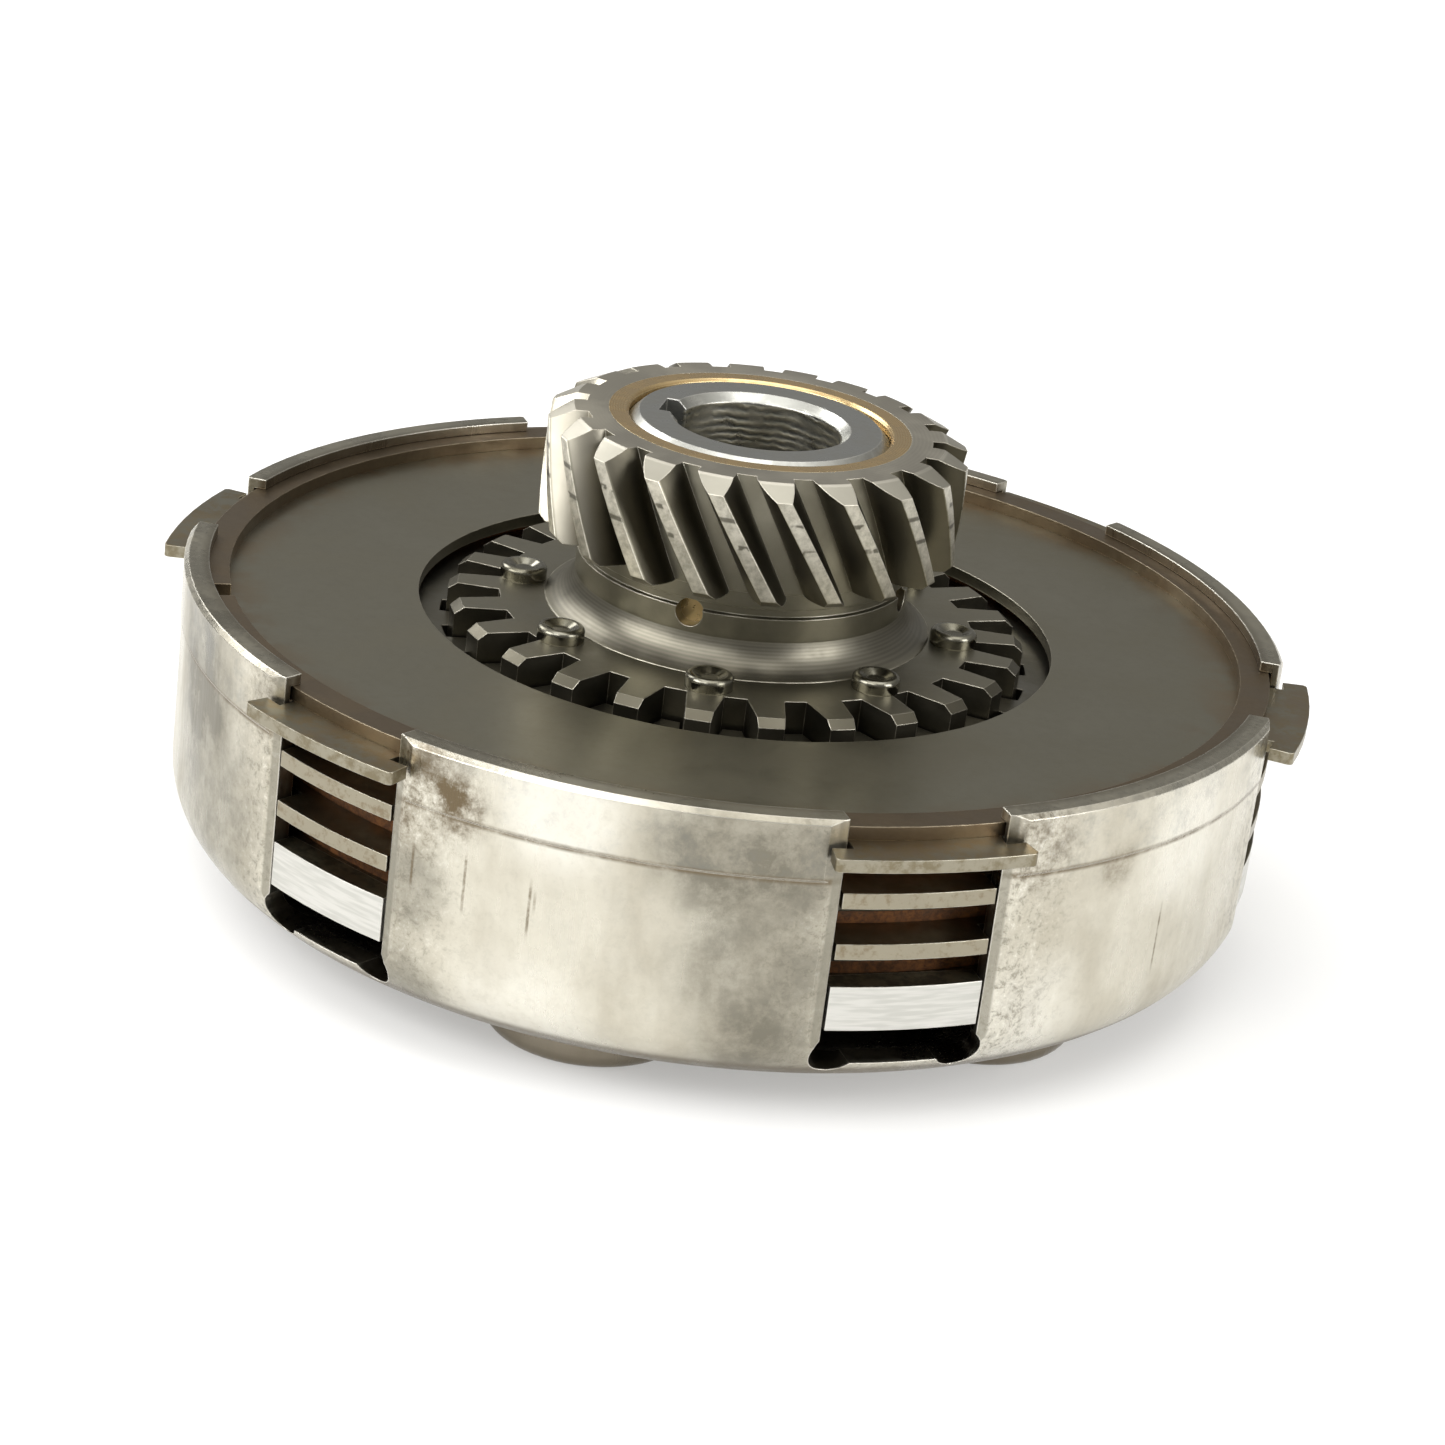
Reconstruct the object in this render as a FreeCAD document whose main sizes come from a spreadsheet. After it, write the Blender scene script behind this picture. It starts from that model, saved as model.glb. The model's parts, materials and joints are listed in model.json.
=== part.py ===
import FreeCAD, Part
import math
import os
import re
import Sketcher

# Multi-plate wet clutch with a riveted helical drive pinion.
# Millimetres. The shaft axis is Z, the pinion points to +Z and the spring
# pockets under the basket rest on Z = 0. Window number one faces +X.
SIZES = {
    # basket: a deep pressed cup
    "basket_r": 54.0, "wall": 2.4, "rim_z": 30.6, "floor_z": 3.5, "floor_wall": 2.0,
    "corner_r": 7.0, "inner_r": 4.8, "band_high": 5.8, "band_step": 0.15, "mouth_r": 22.0,
    "rim_bevel": 0.45,
    # the windows in its wall
    "window_count": 6, "window_w": 14.9, "window_z": 6.7,
    "relief_x": 6.0, "relief_z": 7.7, "relief_r": 2.1, "jamb_w": 1.8,
    "jamb_near_deep": 1.1, "jamb_far_deep": 0.8,
    # spring pockets below its floor, and the springs
    "pocket_count": 6, "pocket_turn": 25.1, "pocket_c": 36.9, "pocket_r": 9.9,
    "pocket_edge": 1.5, "pocket_foot": 0.8, "spring_room": 8.4,
    "spring_r": 6.6, "wire_r": 1.0, "spring_turns": 3.6, "spring_ground": 0.4,
    "seat_r": 8.3, "seat_deep": 1.6,
    # release disc, its wire clip and the hooks that hold the clip
    "disc_r": 24.1, "disc_thick": 1.4, "dimple_r": 5.0, "dimple_deep": 0.8,
    "clip_r": 23.6, "clip_wire": 0.55, "clip_turn": 335.0,
    "hook_in": 22.9, "hook_mid": 24.3, "hook_out": 25.4, "hook_low": 0.4, "hook_lip": 0.4,
    "hook_turn": 14.0, "hook_count": 3,
    # top plate with T-shaped lugs, and the split ring above it
    "top_plate_z": 27.05, "top_plate_thick": 1.2, "top_hole_r": 31.25, "top_disc_r": 51.2,
    "neck_root": 49.0, "neck_end": 55.0, "neck_half": 7.1,
    "head_in": 54.25, "head_out": 56.6, "head_half": 9.6, "head_round": 0.5,
    "head_side": 56.1, "head_flat": 9.1,
    "ring_in": 49.6, "ring_out": 52.5, "ring_thick": 1.3, "ring_turn": 356.6, "ring_start": 206.8,
    "groove_r": 52.8, "groove_slack": 0.05,
    # steel plates
    "plate_in": 31.5, "plate_disc_r": 50.6, "plate_thick": 1.5, "lug_root": 49.0,
    "lug_r": 53.5, "lug_half": 7.7, "plate_upper_z": 22.15, "plate_lower_z": 17.25,
    # friction plates
    "core_thick": 1.1, "lining_thick": 1.15, "core_out": 49.2, "core_in": 29.0,
    "lining_in": 33.0, "lining_half": 14.0, "lining_count": 12,
    "friction_tip_r": 24.0, "friction_tip_half": 0.9, "friction_root_r": 29.4,
    "friction_root_half": 2.1,
    # base plate, hub and what joins them
    "base_z": 10.35, "base_face_z": 13.85, "base_lug_z": 14.6, "base_disc_r": 50.8,
    "base_bore": 13.5, "washer_seat_r": 22.0, "washer_seat_z": 13.0,
    "hub_r": 12.7, "hub_bore": 8.0, "hub_bevel": 0.9, "bore_bevel": 0.8, "hub_flange_r": 19.6,
    "hub_flange_z": 7.35, "nut_seat_r": 13.0, "nut_seat_z": 9.35,
    "key_w": 4.0, "key_r": 9.7,
    "washer_in": 12.8, "washer_out": 21.0, "washer_thick": 1.4,
    "hub_rivet_count": 6, "hub_rivet_c": 16.4, "hub_rivet_r": 1.5, "hub_rivet_head": 2.6,
    "hub_rivet_high": 1.1,
    # pinion: sleeve, flange, neck and helical gear
    "pinion_z": 14.5, "pinion_flange_r": 22.8, "pinion_flange_z": 17.5, "sleeve_r": 16.85,
    "cone_z": 28.9, "cone_r": 19.0, "cone_top_z": 31.9, "cone_curve": 4.2, "neck_r": 16.3,
    "groove_z": 34.2, "groove_high": 1.0, "groove_deep": 0.35, "gear_z": 36.9,
    "gear_top_z": 48.4, "face_r": 18.0, "end_bevel": 1.2, "low_bevel": 0.6,
    "gear_teeth": 20, "helix_deg": 30.0, "normal_module": 1.63, "pressure_deg": 20.0,
    "oil_hole_r": 1.35, "oil_hole_z": 33.8, "oil_hole_turn": 83.3, "oil_hole_count": 4,
    "bush_in": 12.75, "bush_out": 14.7, "bush_bevel": 0.3,
    # spider: the toothed ring that carries the friction plates
    "spider_z": 14.5, "spider_top_z": 28.9, "spider_tip_r": 28.4, "spider_root_r": 23.4,
    "spider_teeth": 26, "spider_turn": 11.4, "tooth_tip_half": 1.0, "tooth_root_half": 1.75,
    "tip_bevel": 0.9, "tip_bevel_high": 0.7, "spider_recess_r": 22.9,
    "rivet_count": 8, "rivet_turn": 4.5, "rivet_c": 21.4, "rivet_r": 1.1, "rivet_head": 2.3,
    "rivet_high": 1.4, "rivet_edge": 0.5, "rivet_dish": 1.65, "rivet_dish_deep": 0.45,
}

doc = FreeCAD.newDocument("clutch")
sheet = doc.addObject("Spreadsheet::Sheet", "Sizes")
for row, (alias, size) in enumerate(SIZES.items(), 1):
    sheet.set("A%d" % row, alias)
    sheet.set("B%d" % row, str(size))
    sheet.setAlias("B%d" % row, alias)
doc.recompute()

WORD = re.compile(r"(?<![A-Za-z_])(?!(?:cos|sin)\()[a-z][a-z_]*")
Z_UP = FreeCAD.Vector(0, 0, 1)
ORIGIN = FreeCAD.Vector(0, 0, 0)


def size(alias):
    return float(sheet.get(alias))


def formula(text):
    """The text as a FreeCAD expression that reads the sheet."""
    return WORD.sub(r"Sizes.\g<0>", text)


def factor_value(factor):
    if factor.startswith("cos("):
        return math.cos(math.radians(factor_value(factor[4:-1])))
    if factor.startswith("sin("):
        return math.sin(math.radians(factor_value(factor[4:-1])))
    return float(factor) if factor[0].isdigit() else size(factor)


def number(text):
    """The value of sums of products of sheet names, numbers, sines and cosines."""
    total, sign = 0.0, 1.0
    for word in text.split():
        if word in ("+", "-"):
            sign = 1.0 if word == "+" else -1.0
            continue
        total += sign * math.prod(factor_value(factor) for factor in word.split("*"))
        sign = 1.0
    return total


def flipped(text):
    """The formula of the opposite value."""
    words = {"+": "-", "-": "+"}
    return "- " + " ".join(words.get(word, word) for word in text.split())


def new_body(name):
    body = doc.addObject("PartDesign::Body", name)
    body.Label = name
    body.AllowCompound = True
    return body


def origin_feature(body, role):
    return [part for part in body.Origin.OriginFeatures if part.Role == role][0]


def new_sketch(body, name, plane="XZ_Plane", turn="0", lift="0"):
    """A sketch on an origin plane: turned about Z, or lifted along the plane's normal."""
    sketch = body.newObject("Sketcher::SketchObject", name)
    sketch.AttachmentSupport = [(origin_feature(body, plane), "")]
    sketch.MapMode = "FlatFace"
    axis = FreeCAD.Vector(0, 1, 0) if plane == "XZ_Plane" else Z_UP
    sketch.AttachmentOffset = FreeCAD.Placement(ORIGIN, FreeCAD.Rotation(axis, number(turn)))
    if lift != "0":
        sketch.setExpression("AttachmentOffset.Base.z", formula(lift))
    return sketch


def constrain(sketch, kind, *entries):
    """Adds a dimension whose last entry is its formula."""
    text = entries[-1]
    place = sketch.addConstraint(Sketcher.Constraint(kind, *entries[:-1], number(text)))
    if WORD.search(text):
        sketch.setExpression("Constraints[%d]" % place, formula(text))


def arc_between(first, last, radius):
    """The shorter arc: it turns left for a radius above zero, and right below zero."""
    chord = last - first
    side = FreeCAD.Vector(-chord.y, chord.x, 0).normalize()
    rise = math.sqrt(radius ** 2 - (chord.Length / 2) ** 2)
    middle = (first + last) * 0.5 + side * math.copysign(rise, radius)
    start, end = (first, last) if radius > 0 else (last, first)
    turns = [math.atan2(p.y - middle.y, p.x - middle.x) for p in (start, end)]
    circle = Part.Circle(middle, Z_UP, abs(radius))
    return Part.ArcOfCircle(circle, turns[0], turns[1])


def outline(sketch, path):
    """A closed outline of (x, y) corners; a third entry bends the edge after its corner."""
    corners = [FreeCAD.Vector(number(step[0]), number(step[1]), 0) for step in path]
    ends = []
    for place, step in enumerate(path):
        first, last = corners[place], corners[(place + 1) % len(path)]
        if len(step) == 2:
            edge = sketch.addGeometry(Part.LineSegment(first, last), False)
            ends.append((edge, 1, 2))
            continue
        radius = number(step[2])
        edge = sketch.addGeometry(arc_between(first, last, radius), False)
        ends.append((edge, 1, 2) if radius > 0 else (edge, 2, 1))
    for place, step in enumerate(path):
        edge, start, end = ends[place]
        following = ends[(place + 1) % len(path)]
        sketch.addConstraint(
            Sketcher.Constraint("Coincident", edge, end, following[0], following[1]))
        constrain(sketch, "DistanceX", -1, 1, edge, start, step[0])
        constrain(sketch, "DistanceY", -1, 1, edge, start, step[1])
        if len(step) == 3:
            constrain(sketch, "Radius", edge, step[2].lstrip("- "))


def hole(sketch, across, up, radius):
    """A full circle with its centre at (across, up)."""
    middle = FreeCAD.Vector(number(across), number(up), 0)
    edge = sketch.addGeometry(Part.Circle(middle, Z_UP, number(radius)), False)
    constrain(sketch, "DistanceX", -1, 1, edge, 3, across)
    constrain(sketch, "DistanceY", -1, 1, edge, 3, up)
    constrain(sketch, "Radius", edge, radius)


def own_axis(sketch, across):
    """A construction line parallel to Z, which the sketch's outline turns about."""
    start = FreeCAD.Vector(number(across), 0, 0)
    line = sketch.addGeometry(Part.LineSegment(start, start + FreeCAD.Vector(0, 10, 0)), True)
    sketch.addConstraint(Sketcher.Constraint("Vertical", line))
    constrain(sketch, "DistanceX", -1, 1, line, 1, across)
    constrain(sketch, "DistanceY", -1, 1, line, 1, "0")
    constrain(sketch, "DistanceY", line, 1, line, 2, "10")


def turned(body, sketch, kind="Revolution", axis="V_Axis", angle="360", middle=False):
    feature = body.newObject("PartDesign::" + kind, sketch.Name + "_turned")
    feature.Profile = sketch
    feature.ReferenceAxis = (sketch, [axis])
    feature.Angle = number(angle)
    if WORD.search(angle):
        feature.setExpression("Angle", formula(angle))
    feature.Midplane = middle
    sketch.Visibility = False
    body.Tip = feature
    return feature


def padded(body, sketch, length, kind="Pad", reverse=False, through=False):
    feature = body.newObject("PartDesign::" + kind, sketch.Name + "_" + kind.lower())
    feature.Profile = sketch
    feature.Reversed = reverse
    if through:
        feature.Type = "ThroughAll"
    else:
        feature.setExpression("Length", formula(length))
    body.Tip = feature
    return feature


def around(body, features, count):
    """Repeats features evenly about Z."""
    pattern = body.newObject("PartDesign::PolarPattern", features[0].Name + "_around")
    pattern.Originals = features
    pattern.Axis = (origin_feature(body, "Z_Axis"), [""])
    pattern.Angle = 360
    pattern.setExpression("Occurrences", formula(count))
    body.Tip = pattern
    return pattern


def check_cut(body, feature, before):
    """A cut that removes nothing is a mistake, and so is one that adds."""
    doc.recompute()
    after = body.Shape.Volume
    if after >= before - 1e-3:
        raise RuntimeError("%s removed nothing" % feature.Name)
    return after


def ring_outline(sketch, inner, outer, low, high):
    outline(sketch, [(inner, low), (outer, low), (outer, high), (inner, high)])


def lug_outline(sketch, root, end, half):
    """A lug along X with parallel sides and an end that follows the radius."""
    rise = "%s*sin(%s)" % (end, half)
    reach = "%s*cos(%s)" % (end, half)
    outline(sketch, [(root, "- " + rise), (reach, "- " + rise, end), (reach, rise), (root, rise)])


# ---- basket and what moves with it ----

def make_basket():
    body = new_body("basket")
    cup = new_sketch(body, "basket_cup")
    skin = "basket_r - band_step"
    inside = "basket_r - wall"
    ring_low = "top_plate_z + top_plate_thick - groove_slack"
    ring_high = "top_plate_z + top_plate_thick + ring_thick + groove_slack"
    outline(cup, [
        ("mouth_r", "floor_z"),
        (skin + " - corner_r", "floor_z", "corner_r"),
        (skin, "floor_z + corner_r"),
        (skin, "rim_z - band_high"),
        ("basket_r", "rim_z - band_high + band_step"),
        ("basket_r", "rim_z - rim_bevel"),
        ("basket_r - rim_bevel", "rim_z"),
        (inside, "rim_z"),
        (inside, ring_high),
        ("groove_r", ring_high),
        ("groove_r", ring_low),
        (inside, ring_low),
        (inside, "floor_z + floor_wall + inner_r", "- inner_r"),
        (inside + " - inner_r", "floor_z + floor_wall"),
        ("mouth_r", "floor_z + floor_wall"),
    ])
    turned(body, cup)

    # round cups under the floor that hold the springs
    shell = new_sketch(body, "pocket_shell", turn="pocket_turn")
    side = "pocket_c + pocket_r"
    middle = "floor_z + 0.5*floor_wall"
    outline(shell, [
        ("pocket_c", "0"),
        (side + " - pocket_edge", "0", "pocket_edge"),
        (side, "pocket_edge"),
        (side, "floor_z - pocket_foot", "- pocket_foot"),
        (side + " + pocket_foot", "floor_z"),
        (side + " + pocket_foot", middle),
        ("pocket_c", middle),
    ])
    own_axis(shell, "pocket_c")
    shells = turned(body, shell, axis="Axis0")
    around(body, [shells], "pocket_count")
    doc.recompute()
    volume = body.Shape.Volume
    room = new_sketch(body, "pocket_room", turn="pocket_turn")
    reach = "pocket_c + spring_room"
    outline(room, [
        ("pocket_c", "floor_wall"),
        (reach + " - 0.5*pocket_edge", "floor_wall", "0.5*pocket_edge"),
        (reach, "floor_wall + 0.5*pocket_edge"),
        (reach, "floor_z + 2*floor_wall"),
        ("pocket_c", "floor_z + 2*floor_wall"),
    ])
    own_axis(room, "pocket_c")
    rooms = turned(body, room, kind="Groove", axis="Axis0")
    volume = check_cut(body, around(body, [rooms], "pocket_count"), volume)

    # windows: parallel jambs up through the rim, with round reliefs in the low corners
    opening = new_sketch(body, "window", plane="YZ_Plane")
    half = "0.5*window_w"
    outline(opening, [
        ("- " + half, "window_z"), (half, "window_z"),
        (half, "rim_z + wall"), ("- " + half, "rim_z + wall")])
    window = padded(body, opening, "", kind="Pocket", reverse=True, through=True)
    relief = new_sketch(body, "window_relief", plane="YZ_Plane")
    hole(relief, "relief_x", "relief_z", "relief_r")
    hole(relief, "- relief_x", "relief_z", "relief_r")
    reliefs = padded(body, relief, "", kind="Pocket", reverse=True, through=True)
    volume = check_cut(body, around(body, [window, reliefs], "window_count"), volume)

    # flat coined facets along both jambs of each window
    facet = new_sketch(body, "jamb_facets", plane="XY_Plane", lift="relief_z")
    for sign in ("", "- "):
        outline(facet, [
            ("basket_r - jamb_near_deep", sign + half),
            ("basket_r - jamb_far_deep", (flipped if sign else str)(half + " + jamb_w")),
            ("basket_r + wall", (flipped if sign else str)(half + " + jamb_w")),
            ("basket_r + wall", sign + half)])
    facets = padded(body, facet, "rim_z", kind="Pocket", reverse=True)
    check_cut(body, around(body, [facets], "window_count"), volume)

    # three hooks round the mouth that keep the clip
    hook = new_sketch(body, "hook")
    outline(hook, [
        ("hook_mid", "hook_low + hook_lip"), ("hook_in", "hook_low + hook_lip"),
        ("hook_in", "hook_low"), ("hook_out", "hook_low"),
        ("hook_out", "floor_z + 0.5*floor_wall"), ("hook_mid", "floor_z + 0.5*floor_wall")])
    hooks = turned(body, hook, angle="hook_turn", middle=True)
    around(body, [hooks], "hook_count")
    return body


def make_top_plate():
    body = new_body("top_plate")
    disc = new_sketch(body, "top_disc", plane="XY_Plane", lift="top_plate_z")
    hole(disc, "0", "0", "top_disc_r")
    hole(disc, "0", "0", "top_hole_r")
    padded(body, disc, "top_plate_thick")
    neck = new_sketch(body, "neck", plane="XY_Plane", lift="top_plate_z")
    outline(neck, [
        ("neck_root", "- neck_half"), ("neck_end", "- neck_half"),
        ("neck_end", "neck_half"), ("neck_root", "neck_half")])
    head = new_sketch(body, "head", plane="XY_Plane", lift="top_plate_z")
    near, low = "head_in*cos(head_half)", "head_in*sin(head_half)"
    side, side_up = "head_side*cos(head_half)", "head_side*sin(head_half)"
    far, far_up = "head_out*cos(head_flat)", "head_out*sin(head_flat)"
    outline(head, [
        (near, "- " + low), (side, "- " + side_up, "head_round"),
        (far, "- " + far_up, "head_out"), (far, far_up, "head_round"),
        (side, side_up), (near, low, "- head_in")])
    lugs = [padded(body, neck, "top_plate_thick"), padded(body, head, "top_plate_thick")]
    around(body, lugs, "window_count")
    return body


def make_retaining_ring():
    body = new_body("retaining_ring")
    section = new_sketch(body, "ring_section", turn="ring_start")
    low = "top_plate_z + top_plate_thick"
    ring_outline(section, "ring_in", "ring_out", low, low + " + ring_thick")
    turned(body, section, angle="ring_turn")
    return body


def make_release_disc():
    body = new_body("release_disc")
    section = new_sketch(body, "disc_section")
    low = "floor_z - disc_thick"
    outline(section, [
        ("0", low + " + dimple_deep"), ("dimple_r - dimple_deep", low + " + dimple_deep"),
        ("dimple_r", low), ("disc_r", low), ("disc_r", "floor_z"),
        ("dimple_r + dimple_deep", "floor_z"), ("dimple_r", "floor_z + dimple_deep"),
        ("0", "floor_z + dimple_deep")])
    turned(body, section)
    return body


def make_disc_clip():
    body = new_body("disc_clip")
    section = new_sketch(body, "clip_section", turn="pocket_turn")
    hole(section, "clip_r", "floor_z - disc_thick - clip_wire", "clip_wire")
    turned(body, section, angle="clip_turn")
    return body


def make_spring(place):
    """A short compression spring with ground ends, in its own pocket."""
    name = "spring_%d" % (place + 1)
    low = "floor_wall"
    length = "base_z + seat_deep - floor_wall"
    # the coil runs past both ends, and what stands out there is ground away
    rise = "%s + spring_ground + spring_ground" % length
    coil = doc.addObject("Part::Helix", name + "_coil")
    coil.setExpression("Radius", formula("spring_r"))
    coil.setExpression("Height", formula(rise))
    coil.setExpression("Pitch", "(%s) / Sizes.spring_turns" % formula(rise))
    coil.setExpression("Placement.Base.z", formula("- spring_ground"))
    wire = doc.addObject("Part::Circle", name + "_wire")
    wire.setExpression("Radius", formula("wire_r"))
    wire.Placement = FreeCAD.Placement(
        FreeCAD.Vector(size("spring_r"), 0, -size("spring_ground")),
        FreeCAD.Rotation(FreeCAD.Vector(1, 0, 0), 90))
    doc.recompute()
    sweep = doc.addObject("Part::Sweep", name + "_sweep")
    sweep.Sections = [wire]
    sweep.Spine = (coil, ["Edge%d" % (n + 1) for n in range(len(coil.Shape.Edges))])
    sweep.Solid = True
    sweep.Frenet = True
    grind = doc.addObject("Part::Cylinder", name + "_length")
    grind.setExpression("Radius", formula("seat_r"))
    grind.setExpression("Height", formula(length))
    spring = doc.addObject("Part::Common", name)
    spring.Base = sweep
    spring.Tool = grind
    spring.Label = name
    turn = number("pocket_turn") + place * 360.0 / number("pocket_count")
    middle = size("pocket_c")
    spring.Placement = FreeCAD.Placement(
        FreeCAD.Vector(middle * math.cos(math.radians(turn)),
                       middle * math.sin(math.radians(turn)), number(low)),
        FreeCAD.Rotation(Z_UP, turn))
    return spring


# ---- plates between the top plate and the base plate ----

def make_steel_plate(name, low):
    body = new_body(name)
    disc = new_sketch(body, name + "_disc", plane="XY_Plane", lift=low)
    hole(disc, "0", "0", "plate_disc_r")
    hole(disc, "0", "0", "plate_in")
    padded(body, disc, "plate_thick")
    lug = new_sketch(body, name + "_lug", plane="XY_Plane", lift=low)
    lug_outline(lug, "lug_root", "lug_r", "lug_half")
    around(body, [padded(body, lug, "plate_thick")], "window_count")
    return body


def make_friction_core(name, low):
    """A steel ring whose inner teeth slide in the gaps of the spider."""
    body = new_body(name)
    disc = new_sketch(body, name + "_disc", plane="XY_Plane", lift=low)
    hole(disc, "0", "0", "core_out")
    hole(disc, "0", "0", "core_in")
    padded(body, disc, "core_thick")
    gap_turn = str(number("spider_turn") + 180.0 / number("spider_teeth"))
    tooth = new_sketch(body, name + "_tooth", plane="XY_Plane", turn=gap_turn, lift=low)
    outline(tooth, [
        ("friction_tip_r", "- friction_tip_half"), ("friction_root_r", "- friction_root_half"),
        ("friction_root_r", "friction_root_half"), ("friction_tip_r", "friction_tip_half")])
    around(body, [padded(body, tooth, "core_thick")], "spider_teeth")
    return body


def make_friction_lining(name, low):
    """Friction pads bonded to both faces of a core, with oil grooves between them."""
    body = new_body(name)
    pads = []
    for side, lift in (("under", low + " - lining_thick"), ("over", low + " + core_thick")):
        pad = new_sketch(body, "%s_%s" % (name, side), plane="XY_Plane", lift=lift)
        outline(pad, [
            ("lining_in*cos(lining_half)", "- lining_in*sin(lining_half)"),
            ("core_out*cos(lining_half)", "- core_out*sin(lining_half)", "core_out"),
            ("core_out*cos(lining_half)", "core_out*sin(lining_half)"),
            ("lining_in*cos(lining_half)", "lining_in*sin(lining_half)", "- lining_in")])
        pads.append(padded(body, pad, "lining_thick"))
    around(body, pads, "lining_count")
    return body


def make_base_plate():
    body = new_body("base_plate")
    section = new_sketch(body, "base_section")
    outline(section, [
        ("base_bore", "base_z"), ("base_disc_r", "base_z"), ("base_disc_r", "base_face_z"),
        ("washer_seat_r", "base_face_z"), ("washer_seat_r", "washer_seat_z"),
        ("base_bore", "washer_seat_z")])
    turned(body, section)
    lug = new_sketch(body, "base_lug", plane="XY_Plane", lift="base_z")
    lug_outline(lug, "lug_root", "lug_r", "lug_half")
    around(body, [padded(body, lug, "base_face_z - base_z")], "window_count")
    crown = new_sketch(body, "base_lug_crown", plane="XY_Plane", lift="base_face_z")
    lug_outline(crown, "base_disc_r", "lug_r", "lug_half")
    around(body, [padded(body, crown, "base_lug_z - base_face_z")], "window_count")
    doc.recompute()
    volume = body.Shape.Volume
    seat = new_sketch(body, "spring_seat", plane="XY_Plane", lift="base_z")
    turn = "pocket_turn"
    hole(seat, "pocket_c*cos(%s)" % turn, "pocket_c*sin(%s)" % turn, "seat_r")
    seats = padded(body, seat, "seat_deep", kind="Pocket", reverse=True)
    volume = check_cut(body, around(body, [seats], "pocket_count"), volume)
    drill = new_sketch(body, "hub_rivet_hole", plane="XY_Plane", lift="base_z")
    hole(drill, "hub_rivet_c", "0", "hub_rivet_r")
    drills = padded(body, drill, "", kind="Pocket", reverse=True, through=True)
    check_cut(body, around(body, [drills], "hub_rivet_count"), volume)
    return body


# ---- hub ----

def make_hub():
    body = new_body("hub")
    section = new_sketch(body, "hub_section")
    outline(section, [
        ("hub_bore", "nut_seat_z"), ("nut_seat_r", "nut_seat_z"),
        ("nut_seat_r", "hub_flange_z"), ("hub_flange_r", "hub_flange_z"),
        ("hub_flange_r", "base_z"), ("base_bore", "base_z"), ("base_bore", "washer_seat_z"),
        ("hub_r", "washer_seat_z"), ("hub_r", "gear_top_z - hub_bevel"),
        ("hub_r - hub_bevel", "gear_top_z"), ("hub_bore + bore_bevel", "gear_top_z"),
        ("hub_bore", "gear_top_z - bore_bevel")])
    turned(body, section)
    doc.recompute()
    volume = body.Shape.Volume
    key = new_sketch(body, "keyway", plane="XY_Plane", lift="gear_top_z")
    outline(key, [
        ("- key_r", "- 0.5*key_w"), ("0", "- 0.5*key_w"), ("0", "0.5*key_w"),
        ("- key_r", "0.5*key_w")])
    keyway = padded(body, key, "", kind="Pocket", through=True)
    volume = check_cut(body, keyway, volume)
    drill = new_sketch(body, "flange_rivet_hole", plane="XY_Plane", lift="base_z")
    hole(drill, "hub_rivet_c", "0", "hub_rivet_r")
    drills = padded(body, drill, "", kind="Pocket", through=True)
    check_cut(body, around(body, [drills], "hub_rivet_count"), volume)
    return body


def make_hub_rivets():
    """Round heads under the hub flange, ground flush under the thrust washer."""
    body = new_body("hub_rivets")
    section = new_sketch(body, "hub_rivet_section")
    side = "hub_rivet_c + hub_rivet_r"
    head = "hub_rivet_c + hub_rivet_head"
    low = "hub_flange_z - hub_rivet_high"
    outline(section, [
        ("hub_rivet_c", low), (head + " - 0.5*hub_rivet_high", low),
        (head, low + " + 0.5*hub_rivet_high"), (head, "hub_flange_z"), (side, "hub_flange_z"),
        (side, "washer_seat_z"), ("hub_rivet_c", "washer_seat_z")])
    own_axis(section, "hub_rivet_c")
    around(body, [turned(body, section, axis="Axis0")], "hub_rivet_count")
    return body


def make_thrust_washer():
    body = new_body("thrust_washer")
    section = new_sketch(body, "washer_section")
    ring_outline(section, "washer_in", "washer_out", "washer_seat_z",
                 "washer_seat_z + washer_thick")
    turned(body, section)
    return body


# ---- pinion ----

def make_bronze_bush():
    body = new_body("bronze_bush")
    section = new_sketch(body, "bush_section")
    outline(section, [
        ("bush_in", "pinion_z"), ("bush_out", "pinion_z"), ("bush_out", "gear_top_z"),
        ("bush_in + bush_bevel", "gear_top_z"), ("bush_in", "gear_top_z - bush_bevel")])
    turned(body, section)
    return body


def involute_turn(radius, base):
    """How far the involute of the base circle has turned at a radius."""
    roll = math.sqrt(max((radius / base) ** 2 - 1.0, 0.0))
    return roll - math.atan(roll)


def tooth_space(teeth, pitch_r, base_r, root_r, outer_r):
    """The closed wire between two teeth, in the transverse plane, centred on X."""
    half_pitch = math.pi / teeth
    pitch_turn = involute_turn(pitch_r, base_r)

    def half_space(radius):
        return half_pitch / 2 - pitch_turn + involute_turn(max(radius, base_r), base_r)

    steps = 6
    radii = [root_r + (outer_r - root_r) * n / steps for n in range(steps + 1)]
    flank = [FreeCAD.Vector(r * math.cos(half_space(r)), r * math.sin(half_space(r)), 0)
             for r in radii]
    mirrored = [FreeCAD.Vector(p.x, -p.y, 0) for p in flank]
    sides = []
    for points in (flank, list(reversed(mirrored))):
        curve = Part.BSplineCurve()
        curve.interpolate(points)
        sides.append(curve.toShape())
    floor = Part.Arc(mirrored[0], FreeCAD.Vector(root_r, 0, 0), flank[0]).toShape()
    roof = Part.Arc(flank[-1], FreeCAD.Vector(outer_r, 0, 0), mirrored[-1]).toShape()
    return Part.Wire([floor, sides[0], roof, sides[1]])


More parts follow.
